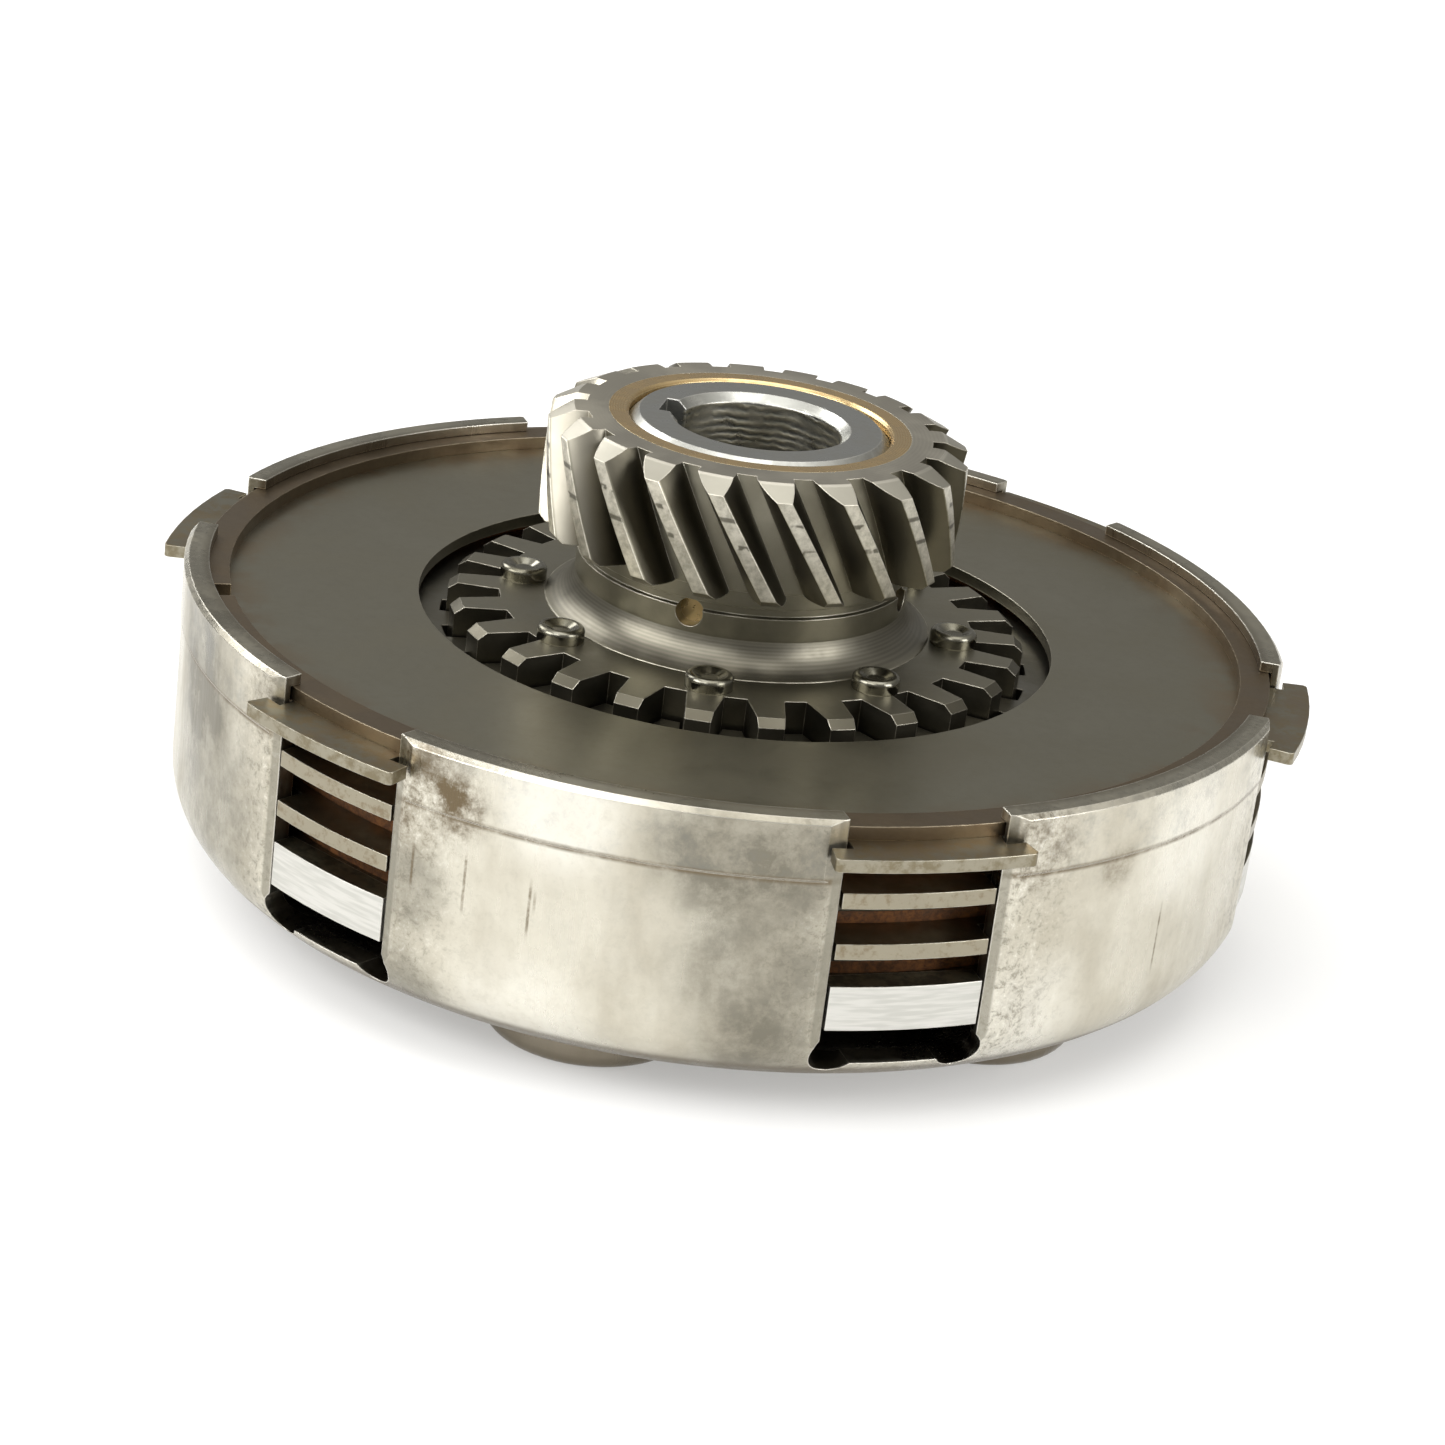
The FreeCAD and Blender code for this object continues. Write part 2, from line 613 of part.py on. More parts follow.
def make_tooth_spaces():
    """Twenty twisted solids: what a hob takes out of the gear blank."""
    teeth = int(number("gear_teeth"))
    helix = math.radians(number("helix_deg"))
    module = number("normal_module")
    pitch_r = teeth * module / math.cos(helix) / 2
    pressure = math.atan(math.tan(math.radians(number("pressure_deg"))) / math.cos(helix))
    base_r = pitch_r * math.cos(pressure)
    root_r = pitch_r - 1.25 * module
    outer_r = pitch_r + 1.6 * module
    wire = tooth_space(teeth, pitch_r, base_r, root_r, outer_r)
    low, high = number("gear_z - end_bevel"), number("gear_top_z + end_bevel")
    turn_per_mm = -math.degrees(math.tan(helix) / pitch_r)
    top_tooth = number("gear_top_z - end_bevel")
    steps = 8
    sections = []
    for n in range(steps + 1):
        height = low + (high - low) * n / steps
        turn = (height - top_tooth) * turn_per_mm + 180.0 / teeth
        section = wire.copy()
        section.Placement = FreeCAD.Placement(
            FreeCAD.Vector(0, 0, height), FreeCAD.Rotation(Z_UP, turn))
        sections.append(section)
    space = Part.makeLoft(sections, True, False)
    spaces = []
    for n in range(teeth):
        one = space.copy()
        one.rotate(ORIGIN, Z_UP, n * 360.0 / teeth)
        spaces.append(one)
    feature = doc.addObject("Part::Feature", "tooth_spaces")
    feature.Shape = Part.makeCompound(spaces)
    return feature, pitch_r + module


def make_pinion():
    spaces, tip_r = make_tooth_spaces()
    body = new_body("pinion_blank")
    section = new_sketch(body, "pinion_section")
    tip = "%.4f" % tip_r
    outline(section, [
        ("bush_out", "pinion_z"), ("pinion_flange_r", "pinion_z"),
        ("pinion_flange_r", "pinion_flange_z"), ("sleeve_r", "pinion_flange_z"),
        ("sleeve_r", "cone_z"), ("cone_r", "cone_z", "- cone_curve"), ("neck_r", "cone_top_z"),
        ("neck_r", "groove_z"), ("neck_r - groove_deep", "groove_z + 0.5*groove_deep"),
        ("neck_r - groove_deep", "groove_z + groove_high"), ("neck_r", "groove_z + groove_high"),
        ("neck_r", "gear_z"), (tip + " - low_bevel", "gear_z"), (tip, "gear_z + low_bevel"),
        (tip, "gear_top_z - end_bevel"), ("face_r", "gear_top_z"), ("bush_out", "gear_top_z")])
    turned(body, section)
    doc.recompute()
    volume = body.Shape.Volume
    oil = new_sketch(body, "oil_hole", plane="XZ_Plane", turn="oil_hole_turn")
    hole(oil, "0", "oil_hole_z", "oil_hole_r")
    oils = padded(body, oil, "", kind="Pocket", through=True)
    volume = check_cut(body, around(body, [oils], "oil_hole_count"), volume)
    drill = new_sketch(body, "pinion_rivet_hole", plane="XY_Plane", lift="pinion_z")
    hole(drill, "rivet_c*cos(rivet_turn)", "rivet_c*sin(rivet_turn)", "rivet_r")
    drills = padded(body, drill, "pinion_flange_z - pinion_z", kind="Pocket", reverse=True)
    check_cut(body, around(body, [drills], "rivet_count"), volume)
    pinion = doc.addObject("Part::Cut", "pinion")
    pinion.Base = body
    pinion.Tool = spaces
    pinion.Label = "pinion"
    return pinion


def make_spider():
    body = new_body("spider")
    section = new_sketch(body, "spider_section")
    outline(section, [
        ("spider_recess_r", "spider_z"), ("spider_tip_r", "spider_z"),
        ("spider_tip_r", "spider_top_z - tip_bevel_high"),
        ("spider_tip_r - tip_bevel", "spider_top_z"), ("sleeve_r", "spider_top_z"),
        ("sleeve_r", "pinion_flange_z"), ("spider_recess_r", "pinion_flange_z")])
    turned(body, section)
    doc.recompute()
    volume = body.Shape.Volume
    half_pitch = "%.5f" % (180.0 / number("spider_teeth"))
    gap_turn = str(number("spider_turn") + float(half_pitch))
    gap = new_sketch(body, "tooth_gap", plane="XY_Plane", turn=gap_turn, lift="spider_top_z")
    root_half = "spider_root_r*sin(%s) - tooth_root_half" % half_pitch
    tip_half = "spider_tip_r*sin(%s) - tooth_tip_half" % half_pitch
    outline(gap, [
        ("spider_root_r", flipped(root_half)),
        ("spider_tip_r + tip_bevel", flipped(tip_half)),
        ("spider_tip_r + tip_bevel", tip_half), ("spider_root_r", root_half)])
    gaps = padded(body, gap, "", kind="Pocket", through=True)
    volume = check_cut(body, around(body, [gaps], "spider_teeth"), volume)
    drill = new_sketch(body, "spider_rivet_hole", plane="XY_Plane", lift="spider_top_z")
    hole(drill, "rivet_c*cos(rivet_turn)", "rivet_c*sin(rivet_turn)", "rivet_r")
    drills = padded(body, drill, "", kind="Pocket", through=True)
    check_cut(body, around(body, [drills], "rivet_count"), volume)
    return body


def make_spider_rivets():
    """Through rivets: dished heads on the spider, flush under the pinion flange."""
    body = new_body("spider_rivets")
    section = new_sketch(body, "spider_rivet_section", turn="rivet_turn")
    top = "spider_top_z + rivet_high"
    side = "rivet_c + rivet_r"
    head = "rivet_c + rivet_head"
    outline(section, [
        ("rivet_c", "pinion_z"), (side, "pinion_z"), (side, "spider_top_z"),
        (head, "spider_top_z"), (head, top + " - rivet_edge", "rivet_edge"),
        (head + " - rivet_edge", top), ("rivet_c + rivet_dish", top),
        ("rivet_c + 0.5*rivet_dish", top + " - rivet_dish_deep"),
        ("rivet_c", top + " - rivet_dish_deep")])
    own_axis(section, "rivet_c")
    around(body, [turned(body, section, axis="Axis0")], "rivet_count")
    return body


def make_all():
    parts = [make_basket(), make_top_plate(), make_retaining_ring(), make_release_disc(),
             make_disc_clip()]
    parts += [make_spring(place) for place in range(int(number("pocket_count")))]
    parts += [make_steel_plate("steel_plate_upper", "plate_upper_z"),
              make_steel_plate("steel_plate_lower", "plate_lower_z")]
    levels = (("upper", "plate_upper_z + plate_thick"), ("middle", "plate_lower_z + plate_thick"),
              ("lower", "base_face_z"))
    for level, low in levels:
        core_low = low + " + lining_thick"
        parts.append(make_friction_core("friction_core_" + level, core_low))
        parts.append(make_friction_lining("friction_lining_" + level, core_low))
    parts += [make_base_plate(), make_hub(), make_hub_rivets(), make_thrust_washer()]
    parts += [make_bronze_bush(), make_pinion(), make_spider(), make_spider_rivets()]
    return parts


def write_parts(parts):
    doc.recompute()
    for thing in doc.Objects:
        if {"Invalid", "Error"} & set(thing.State):
            raise RuntimeError("%s did not build: %s" % (thing.Name, thing.State))
    for part in parts:
        if part.Shape.isNull() or not part.Shape.isValid() or not part.Shape.Solids:
            raise RuntimeError("%s is not a sound solid" % part.Label)
    os.makedirs("parts", exist_ok=True)
    for part in parts:
        part.Shape.exportStep("parts/%s.step" % part.Label)
        print("%-24s %2d solids %10.1f mm3" % (
            part.Label, len(part.Shape.Solids), part.Shape.Volume))


write_parts(make_all())
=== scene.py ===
import json
import math

import bmesh
import bpy
from mathutils import Matrix, Vector


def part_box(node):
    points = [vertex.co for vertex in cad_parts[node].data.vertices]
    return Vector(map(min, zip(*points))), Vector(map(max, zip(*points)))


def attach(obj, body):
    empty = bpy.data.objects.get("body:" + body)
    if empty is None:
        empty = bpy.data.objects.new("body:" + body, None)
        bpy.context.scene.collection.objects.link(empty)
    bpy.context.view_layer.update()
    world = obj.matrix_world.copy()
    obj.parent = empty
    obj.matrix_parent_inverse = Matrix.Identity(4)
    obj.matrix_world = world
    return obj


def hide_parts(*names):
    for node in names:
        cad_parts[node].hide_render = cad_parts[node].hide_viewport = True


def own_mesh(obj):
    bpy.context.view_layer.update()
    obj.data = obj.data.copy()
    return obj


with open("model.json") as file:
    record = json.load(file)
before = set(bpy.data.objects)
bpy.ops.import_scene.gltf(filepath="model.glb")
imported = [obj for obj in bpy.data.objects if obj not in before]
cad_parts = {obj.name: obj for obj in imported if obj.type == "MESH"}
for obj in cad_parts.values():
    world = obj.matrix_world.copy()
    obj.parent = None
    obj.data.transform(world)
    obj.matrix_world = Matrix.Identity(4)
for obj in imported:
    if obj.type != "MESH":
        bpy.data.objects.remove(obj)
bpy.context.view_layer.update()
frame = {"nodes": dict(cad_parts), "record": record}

MM = 0.001

# Where the shaft axis meets the plane of the basket's rim: the camera looks near it.
RIM_CENTRE = Vector((0.0, 0.0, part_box("basket")[1].z))
VIEW_AZIMUTH = 9.1
RIM_Z = RIM_CENTRE.z
BAND_Z = RIM_Z - 5.8 * MM
GEAR_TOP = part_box("pinion")[1].z
CONE_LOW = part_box("spider")[1].z
TIP_R = 20.45 * MM          # over the pinion's teeth
TEETH_LONG = 11.5 * MM
WALL_R = 53.8 * MM          # outside of the basket's wall, below the band
INSIDE_R = 51.8 * MM
WINDOW_STEP = 60.0          # degrees between windows; one is centred on +X
FACET_TURN = 10.3           # degrees from a window's middle to the end of its coined facet
BORE_R = 8.1 * MM

SPRING_COUNT = 6
SPRING_COIL_R = 6.6 * MM
SPRING_WIRE_R = 0.98 * MM
SPRING_TURNS = 3.6

# name, azimuth, elevation, distance, width, height (degrees and metres) and power in watts
LIGHTS = (("left_box", -62.0, 32.0, 0.9, 0.5, 0.5, 4.6),
          ("right_box", 62.0, 26.0, 0.9, 0.4, 0.5, 3.6),
          ("front_box", -22.0, 42.0, 0.9, 0.4, 0.3, 1.6),
          ("back_box", -128.0, 34.0, 0.9, 0.5, 0.4, 3.2),
          ("top_box", 0.0, 82.0, 1.0, 0.9, 0.9, 4.2))


# ---- camera, lights and floor ----

def make_camera():
    """A long lens from a little above the rim, rolled a few degrees."""
    distance = 0.3731
    elevation = math.radians(20.23)
    azimuth = math.radians(VIEW_AZIMUTH)
    pitch = math.radians(-1.968)
    roll = math.radians(7.213)
    data = bpy.data.cameras.new("camera")
    data.sensor_width = 36.0
    data.lens = 94.67
    data.clip_start = 0.01
    camera = bpy.data.objects.new("camera", data)
    bpy.context.scene.collection.objects.link(camera)
    aim = Matrix.Rotation(azimuth, 4, "Z") @ Matrix.Rotation(math.pi / 2 - elevation, 4, "X")
    back = aim @ Vector((0.0, 0.0, 1.0))
    place = Matrix.Translation(RIM_CENTRE + back * distance)
    camera.matrix_world = (place @ aim @ Matrix.Rotation(pitch, 4, "X")
                           @ Matrix.Rotation(roll, 4, "Z"))
    bpy.context.scene.camera = camera


def make_light(name, azimuth, elevation, distance, width, height, power):
    """A soft box that faces the object. Azimuth 0 is the camera's side, 90 its right."""
    data = bpy.data.lights.new(name, "AREA")
    data.shape = "RECTANGLE"
    data.size = width
    data.size_y = height
    data.energy = power
    light = bpy.data.objects.new(name, data)
    bpy.context.scene.collection.objects.link(light)
    turn = math.radians(azimuth - 90.0 + VIEW_AZIMUTH)
    rise = math.radians(elevation)
    way = Vector((math.cos(turn) * math.cos(rise), math.sin(turn) * math.cos(rise),
                  math.sin(rise)))
    light.location = RIM_CENTRE + way * distance
    light.rotation_euler = way.to_track_quat("Z", "Y").to_euler()


def make_stage():
    """A pale table, lit a little from below so that shadows stay light."""
    half = 6.0
    mesh = bpy.data.meshes.new("floor")
    mesh.from_pydata([(-half, -half, 0), (half, -half, 0), (half, half, 0), (-half, half, 0)],
                     [], [(0, 1, 2, 3)])
    floor = bpy.data.objects.new("floor", mesh)
    bpy.context.scene.collection.objects.link(floor)
    material = bpy.data.materials.new("floor_pale")
    material.use_nodes = True
    shader = material.node_tree.nodes["Principled BSDF"]
    shader.inputs["Base Color"].default_value = (0.60, 0.60, 0.60, 1.0)
    shader.inputs["Roughness"].default_value = 0.9
    shader.inputs["Emission Color"].default_value = (1.0, 1.0, 0.99, 1.0)
    shader.inputs["Emission Strength"].default_value = 0.36
    mesh.materials.append(material)


def make_world():
    """A room that is dim round the horizon and bright overhead."""
    world = bpy.data.worlds.new("studio")
    world.use_nodes = True
    tree = world.node_tree
    split = tree.nodes.new("ShaderNodeSeparateXYZ")
    height = tree.nodes.new("ShaderNodeMapRange")
    height.interpolation_type = "SMOOTHSTEP"
    tree.links.new(tree.nodes.new("ShaderNodeTexCoord").outputs["Generated"], split.inputs[0])
    tree.links.new(split.outputs[2], height.inputs["Value"])
    for name, value in (("From Min", 0.45), ("From Max", 0.95), ("To Min", 0.30), ("To Max", 0.9)):
        height.inputs[name].default_value = value
    background = tree.nodes["Background"]
    background.inputs["Color"].default_value = (1.0, 0.98, 0.93, 1.0)
    tree.links.new(height.outputs[0], background.inputs["Strength"])
    bpy.context.scene.world = world


# ---- material building blocks ----

class Graph:
    """One material's nodes: each method adds a node and returns its main output."""

    def __init__(self, name):
        self.material = bpy.data.materials.new(name)
        self.material.use_nodes = True
        self.tree = self.material.node_tree
        self.shader = self.tree.nodes["Principled BSDF"]
        self.place = self.node("ShaderNodeTexCoord").outputs["Object"]
        split = self.node("ShaderNodeSeparateXYZ")
        self.link(self.place, split.inputs[0])
        self.x, self.y, self.z = split.outputs
        self.geometry = self.node("ShaderNodeNewGeometry")

    def node(self, kind, **settings):
        node = self.tree.nodes.new(kind)
        for key, value in settings.items():
            setattr(node, key, value)
        return node

    def link(self, output, socket):
        if isinstance(output, (int, float)):
            socket.default_value = output
        elif isinstance(output, tuple):
            socket.default_value = (*output, 1.0) if len(socket.default_value) == 4 else output
        else:
            self.tree.links.new(output, socket)

    def math(self, operation, first, second=0.0):
        node = self.node("ShaderNodeMath", operation=operation)
        self.link(first, node.inputs[0])
        self.link(second, node.inputs[1])
        return node.outputs[0]

    def times(self, *values):
        """The product of two or more values."""
        product = values[0]
        for value in values[1:]:
            product = self.math("MULTIPLY", product, value)
        return product

    def plus(self, first, second):
        return self.math("ADD", first, second)

    def apart(self, first, second):
        """How far two values are from each other."""
        return self.math("ABSOLUTE", self.math("SUBTRACT", first, second))

    def span(self, value, low, high, start=0.0, end=1.0):
        """Maps low..high to start..end, smoothly and clamped."""
        node = self.node("ShaderNodeMapRange", interpolation_type="SMOOTHSTEP")
        for socket, entry in zip(node.inputs, (value, low, high, start, end)):
            self.link(entry, socket)
        return node.outputs[0]

    def stretched(self, across, along, up):
        """The object's coordinates, scaled on each axis."""
        node = self.node("ShaderNodeVectorMath", operation="MULTIPLY")
        self.link(self.place, node.inputs[0])
        node.inputs[1].default_value = (across, along, up)
        return node.outputs[0]

    def noise(self, size, detail=4.0, rough=0.6, vector=None, warp=0.0):
        """Noise whose blotches are about size metres across."""
        node = self.node("ShaderNodeTexNoise")
        self.link(vector or self.place, node.inputs["Vector"])
        node.inputs["Scale"].default_value = 1.0 / size
        node.inputs["Detail"].default_value = detail
        node.inputs["Roughness"].default_value = rough
        node.inputs["Distortion"].default_value = warp
        return node.outputs[0]

    def scratches(self, size, long):
        """Fine upright marks, long times as tall as they are wide."""
        return self.noise(size, 2.0, 0.5, vector=self.stretched(1.0, 1.0, 1.0 / long))

    def radius(self):
        node = self.node("ShaderNodeVectorMath", operation="LENGTH")
        self.link(self.stretched(1.0, 1.0, 0.0), node.inputs[0])
        return node.outputs["Value"]

    def turn(self):
        """Degrees round the shaft axis, from -180 to 180, from +X."""
        return self.math("MULTIPLY", self.math("ARCTAN2", self.y, self.x), 180.0 / math.pi)

    def rings(self, pitch):
        """Turning marks round the shaft axis on a flat face, from -1 to 1."""
        waves = self.times(self.radius(), 2.0 * math.pi / pitch)
        return self.math("SINE", self.plus(waves, self.times(self.noise(4.0 * MM, 2.0), 6.0)))

    def spots(self, places):
        """Round patches on the wall: degrees, height, reach (mm) and strength of each."""
        total = 0.0
        for angle, height, reach, strength in places:
            turn = math.radians(angle)
            node = self.node("ShaderNodeVectorMath", operation="DISTANCE")
            self.link(self.place, node.inputs[0])
            centre = (WALL_R * math.cos(turn), WALL_R * math.sin(turn), height * MM)
            node.inputs[1].default_value = centre
            spot = self.span(node.outputs["Value"], reach * MM, 0.3 * reach * MM)
            total = self.plus(self.times(spot, strength), total)
        return total

    def mix(self, share, first, second):
        node = self.node("ShaderNodeMix", data_type="RGBA")
        self.link(share, node.inputs[0])
        self.link(first, node.inputs[6])
        self.link(second, node.inputs[7])
        return node.outputs[2]

    def facing_up(self):
        """1 on a face that looks up, 0 on an upright one, -1 on one that looks down."""
        split = self.node("ShaderNodeSeparateXYZ")
        self.link(self.geometry.outputs["Normal"], split.inputs[0])
        return split.outputs[2]

    def round_edges(self, radius):
        """The surface's direction with its edges rounded off."""
        node = self.node("ShaderNodeBevel", samples=6)
        node.inputs["Radius"].default_value = radius
        return node.outputs[0]

    def wear(self, edge):
        """How worn an edge is: where the rounded direction leaves the true one."""
        node = self.node("ShaderNodeVectorMath", operation="DOT_PRODUCT")
        self.link(edge, node.inputs[0])
        self.link(self.geometry.outputs["Normal"], node.inputs[1])
        return self.span(self.math("SUBTRACT", 1.0, node.outputs["Value"]), 0.002, 0.10)

    def bump(self, height, depth, normal):
        node = self.node("ShaderNodeBump")
        node.inputs["Strength"].default_value = 1.0
        node.inputs["Distance"].default_value = depth
        self.link(height, node.inputs["Height"])
        self.link(normal, node.inputs["Normal"])
        return node.outputs[0]

    def finish(self, color, rough, normal, metallic=1.0):
        self.link(color, self.shader.inputs["Base Color"])
        self.link(rough, self.shader.inputs["Roughness"])
        self.link(normal, self.shader.inputs["Normal"])
        self.shader.inputs["Metallic"].default_value = metallic
        return self.material


def oiled_metal(name, clean, film, bright, rough=(0.28, 0.42), blotch=6.0 * MM, grain=0.35 * MM,
                edge=0.16 * MM, worn=0.7, extra=None):
    """Steel under a thin, uneven oil film, bright along its edges.

    clean, film and bright are its colours bare, oily and worn; rough is its roughness bare and
    oily; blotch and grain are the sizes of its stains and its texture. extra may retint it.
    """
    g = Graph(name)
    cover = g.span(g.noise(blotch, 4.0, 0.55, warp=0.3), 0.25, 0.75)
    color = g.mix(cover, clean, film)
    specks = g.span(g.noise(0.9 * MM, 5.0, 0.7), 0.40, 0.80)
    color = g.mix(g.times(specks, 0.35), color, film)
    if extra:
        color = extra(g, color)
    edges = g.round_edges(edge)
    chipped = g.span(g.noise(1.3 * MM, 4.0, 0.7), 0.35, 0.60, 0.25, 1.0)
    color = g.mix(g.times(g.wear(edges), chipped, worn), color, bright)
    fine = g.noise(grain, 3.0, 0.6)
    gloss = g.span(g.plus(g.times(cover, 0.6), g.times(fine, 0.4)), 0.2, 0.9, *rough)
    return g.finish(color, gloss, g.bump(fine, 0.005 * MM, edges))


# ---- materials, one for each slot of the record ----

# Patches on the basket's wall: degrees round the axis, height (mm), reach (mm), strength.
# The next table is painted shade: dark reflections on the wall.
PAINTED_DARK_REFLECTIONS = ((-80.0, 27.0, 8.5, 1.0), (-71.0, 27.0, 7.0, 0.9), (-75.0, 16.0, 11.0, 0.85),
        (-73.0, 4.0, 10.0, 0.8), (-109.5, 17.0, 6.0, 0.7), (-109.5, 7.0, 6.0, 0.7),
        (-142.0, 14.0, 15.0, 0.85), (-146.0, 27.0, 12.0, 1.0), (35.0, 15.0, 12.0, 0.7),
        (80.0, 18.0, 12.0, 0.6), (150.0, 14.0, 12.0, 0.7), (-165.0, 20.0, 9.0, 0.6),
        (105.0, 24.0, 7.0, 0.7))
STAINED = ((-109.5, 26.5, 8.0, 1.3), (-104.0, 26.0, 4.0, 1.0), (-49.0, 27.5, 6.5, 0.9),
           (-38.0, 24.0, 3.0, 0.8), (-50.5, 12.0, 7.0, 0.45), (-130.0, 27.0, 5.0, 0.6),
           (10.5, 26.0, 6.0, 0.7), (49.0, 27.0, 6.0, 0.8), (71.0, 26.0, 6.0, 0.7),
           (130.0, 26.0, 7.0, 0.8), (171.0, 25.0, 6.0, 0.7), (-170.0, 26.0, 5.0, 0.6))
# The next table is painted highlights on the wall.
PAINTED_HIGHLIGHTS = ((-94.5, 28.0, 8.0, 0.9), (-97.0, 6.0, 10.0, 0.7), (-47.0, 10.0, 9.0, 0.6),
            (-27.0, 24.0, 9.0, 0.6), (25.0, 22.0, 8.0, 0.6), (92.0, 12.0, 8.0, 0.6),
            (160.0, 22.0, 8.0, 0.6))
# Upright scratches on the wall: degrees round the axis, lower and upper end (mm).
SCRATCHES = ((-103.4, 15.5, 22.5), (-96.7, 15.0, 21.5), (-109.1, 16.0, 22.0), (-96.2, 17.5, 20.5),
             (-30.0, 11.0, 19.0), (20.0, 9.0, 15.0), (95.0, 14.0, 22.0), (145.0, 10.0, 16.0))


def basket_steel():
    """Drawn satin steel: mottled, stained beside the windows, with painted dark reflections and
    painted highlights in patches.
    """
    g = Graph("basket_steel")
    # the third colour on the next line serves both the painted dark reflections and the dark grain
    # specks; bright, below it, serves both the painted highlights and the bare specks
    clean, warm, reflection_and_speck_dark = (0.62, 0.59, 0.50), (0.50, 0.465, 0.38), (0.20, 0.185, 0.145)
    blue, brown, bright = (0.22, 0.225, 0.215), (0.15, 0.115, 0.07), (0.86, 0.84, 0.76)
    cloud = g.noise(4.5 * MM, 8.0, 0.75, warp=0.1)
    grain = g.noise(0.9 * MM, 6.0, 0.8, warp=0.3)
    broad = g.noise(9.0 * MM, 4.0, 0.6, vector=g.stretched(1.0, 1.0, 0.6), warp=0.2)
    color = g.mix(g.span(broad, 0.35, 0.70), clean, warm)
    ragged = g.span(cloud, 0.30, 0.65, 0.50, 1.0)
    # painted highlights, then painted dark reflections, over patches of the wall
    color = g.mix(g.times(g.spots(PAINTED_HIGHLIGHTS), ragged), color, bright)
    color = g.mix(g.times(g.spots(PAINTED_DARK_REFLECTIONS), ragged), color, reflection_and_speck_dark)
    # degrees from the middle of the nearest window
    window = g.math("PINGPONG", g.turn(), WINDOW_STEP / 2.0)
    # beside the windows the skin is grainy: dark specks and bright ones
    beside = g.span(window, 19.0, 9.0)
    mottle = g.plus(g.times(beside, 0.55), 0.08)
    color = g.mix(g.times(g.span(grain, 0.50, 0.62), mottle), color, reflection_and_speck_dark)
    bare = g.times(g.span(grain, 0.46, 0.34), mottle)
    color = g.mix(g.times(bare, g.math("SUBTRACT", 0.9, g.spots(PAINTED_DARK_REFLECTIONS))), color, bright)
    upper = g.span(g.z, BAND_Z - 0.6 * MM, BAND_Z + 0.3 * MM)
    heat = g.times(g.span(cloud, 0.45, 0.70), g.span(upper, 0.0, 1.0, 0.10, 0.40))
    color = g.mix(heat, color, blue)
    spread = g.plus(g.times(cloud, 0.6), g.times(grain, 0.4))
    stain = g.times(g.span(spread, 0.36, 0.66), g.spots(STAINED))
    color = g.mix(g.times(stain, 0.75), color, brown)
    # the step under the band is darkened brown in patches; the coined facets and everything inside get
    # painted shade
    step = g.span(g.apart(g.z, BAND_Z), 0.50 * MM, 0.10 * MM)
    color = g.mix(g.times(step, g.span(cloud, 0.35, 0.55, 0.3, 0.85)), color, brown)
    # the coined facets beside the windows are darkened: painted shade
    upright = g.span(g.math("ABSOLUTE", g.facing_up()), 0.30, 0.15)
    facet = g.times(g.span(window, FACET_TURN, FACET_TURN - 0.3), upright,
                    g.span(g.radius(), WALL_R - 0.04 * MM, WALL_R - 0.14 * MM))
    color = g.mix(g.times(facet, 0.7), color, (0.24, 0.225, 0.18))
    for angle, low, high in SCRATCHES:
        aside = g.apart(g.turn(), angle)
        mark = g.times(g.span(aside, 0.22, 0.05), g.span(g.z, low * MM, (low + 2.0) * MM),
                       g.span(g.z, high * MM, (high - 2.0) * MM))
        color = g.mix(g.times(mark, g.span(grain, 0.3, 0.6, 0.2, 0.8)), color, brown)
    # the inside of the basket is darkened: painted shade
    inside = g.span(g.radius(), INSIDE_R + 0.8 * MM, INSIDE_R)
    color = g.mix(g.times(inside, 0.8), color, (0.16, 0.13, 0.09))
    # the upper faces that look up are darkened: painted shade
    flat = g.times(g.span(g.facing_up(), 0.7, 0.9), upper)
    color = g.mix(g.times(flat, 0.65), color, (0.30, 0.28, 0.22))
    edges = g.round_edges(0.20 * MM)
    worn = g.times(g.wear(edges), g.span(cloud, 0.3, 0.6, 0.5, 1.0))
    color = g.mix(g.times(worn, 0.85), color, (0.90, 0.87, 0.78))
    scratch = g.scratches(0.45 * MM, 30.0)
    gloss = g.span(g.plus(g.times(broad, 0.7), g.times(scratch, 0.3)), 0.35, 0.65, 0.24, 0.42)
    fine = g.plus(g.times(grain, g.plus(mottle, 0.4)), g.times(scratch, 0.6))
    return g.finish(color, gloss, g.bump(fine, 0.014 * MM, edges))


def dark_steel():
    def tint(g, color):
        rim = g.times(g.span(g.radius(), 44.0 * MM, 50.0 * MM),
                      g.span(g.noise(5.0 * MM, 4.0, 0.6), 0.40, 0.62))
        color = g.mix(g.times(rim, 0.6), color, (0.24, 0.17, 0.10))
        head = g.span(g.radius(), 52.0 * MM, 54.0 * MM)
        rust = g.span(g.noise(1.6 * MM, 5.0, 0.7), 0.42, 0.62)
        color = g.mix(g.times(head, rust), color, (0.25, 0.20, 0.12))
        outer = g.times(head, g.span(g.facing_up(), 0.5, 0.2))
        return g.mix(outer, color, g.mix(rust, (0.30, 0.275, 0.21), (0.20, 0.17, 0.11)))
    return oiled_metal("dark_steel", (0.30, 0.285, 0.225), (0.22, 0.205, 0.155), (0.60, 0.57, 0.47),
                       rough=(0.30, 0.40), blotch=14.0 * MM, extra=tint)


def brown_steel():
    return oiled_metal("brown_steel", (0.20, 0.155, 0.105), (0.13, 0.10, 0.065), (0.42, 0.36, 0.26),
                       rough=(0.32, 0.5), blotch=5.0 * MM)


def plain_steel():
    def turned(g, color):
        marks = g.span(g.rings(0.35 * MM), -1.0, 1.0)
        return g.mix(g.times(marks, 0.25), color, (0.62, 0.60, 0.55))
    return oiled_metal("plain_steel", (0.56, 0.54, 0.49), (0.40, 0.37, 0.30), (0.75, 0.73, 0.68),
                       extra=turned)


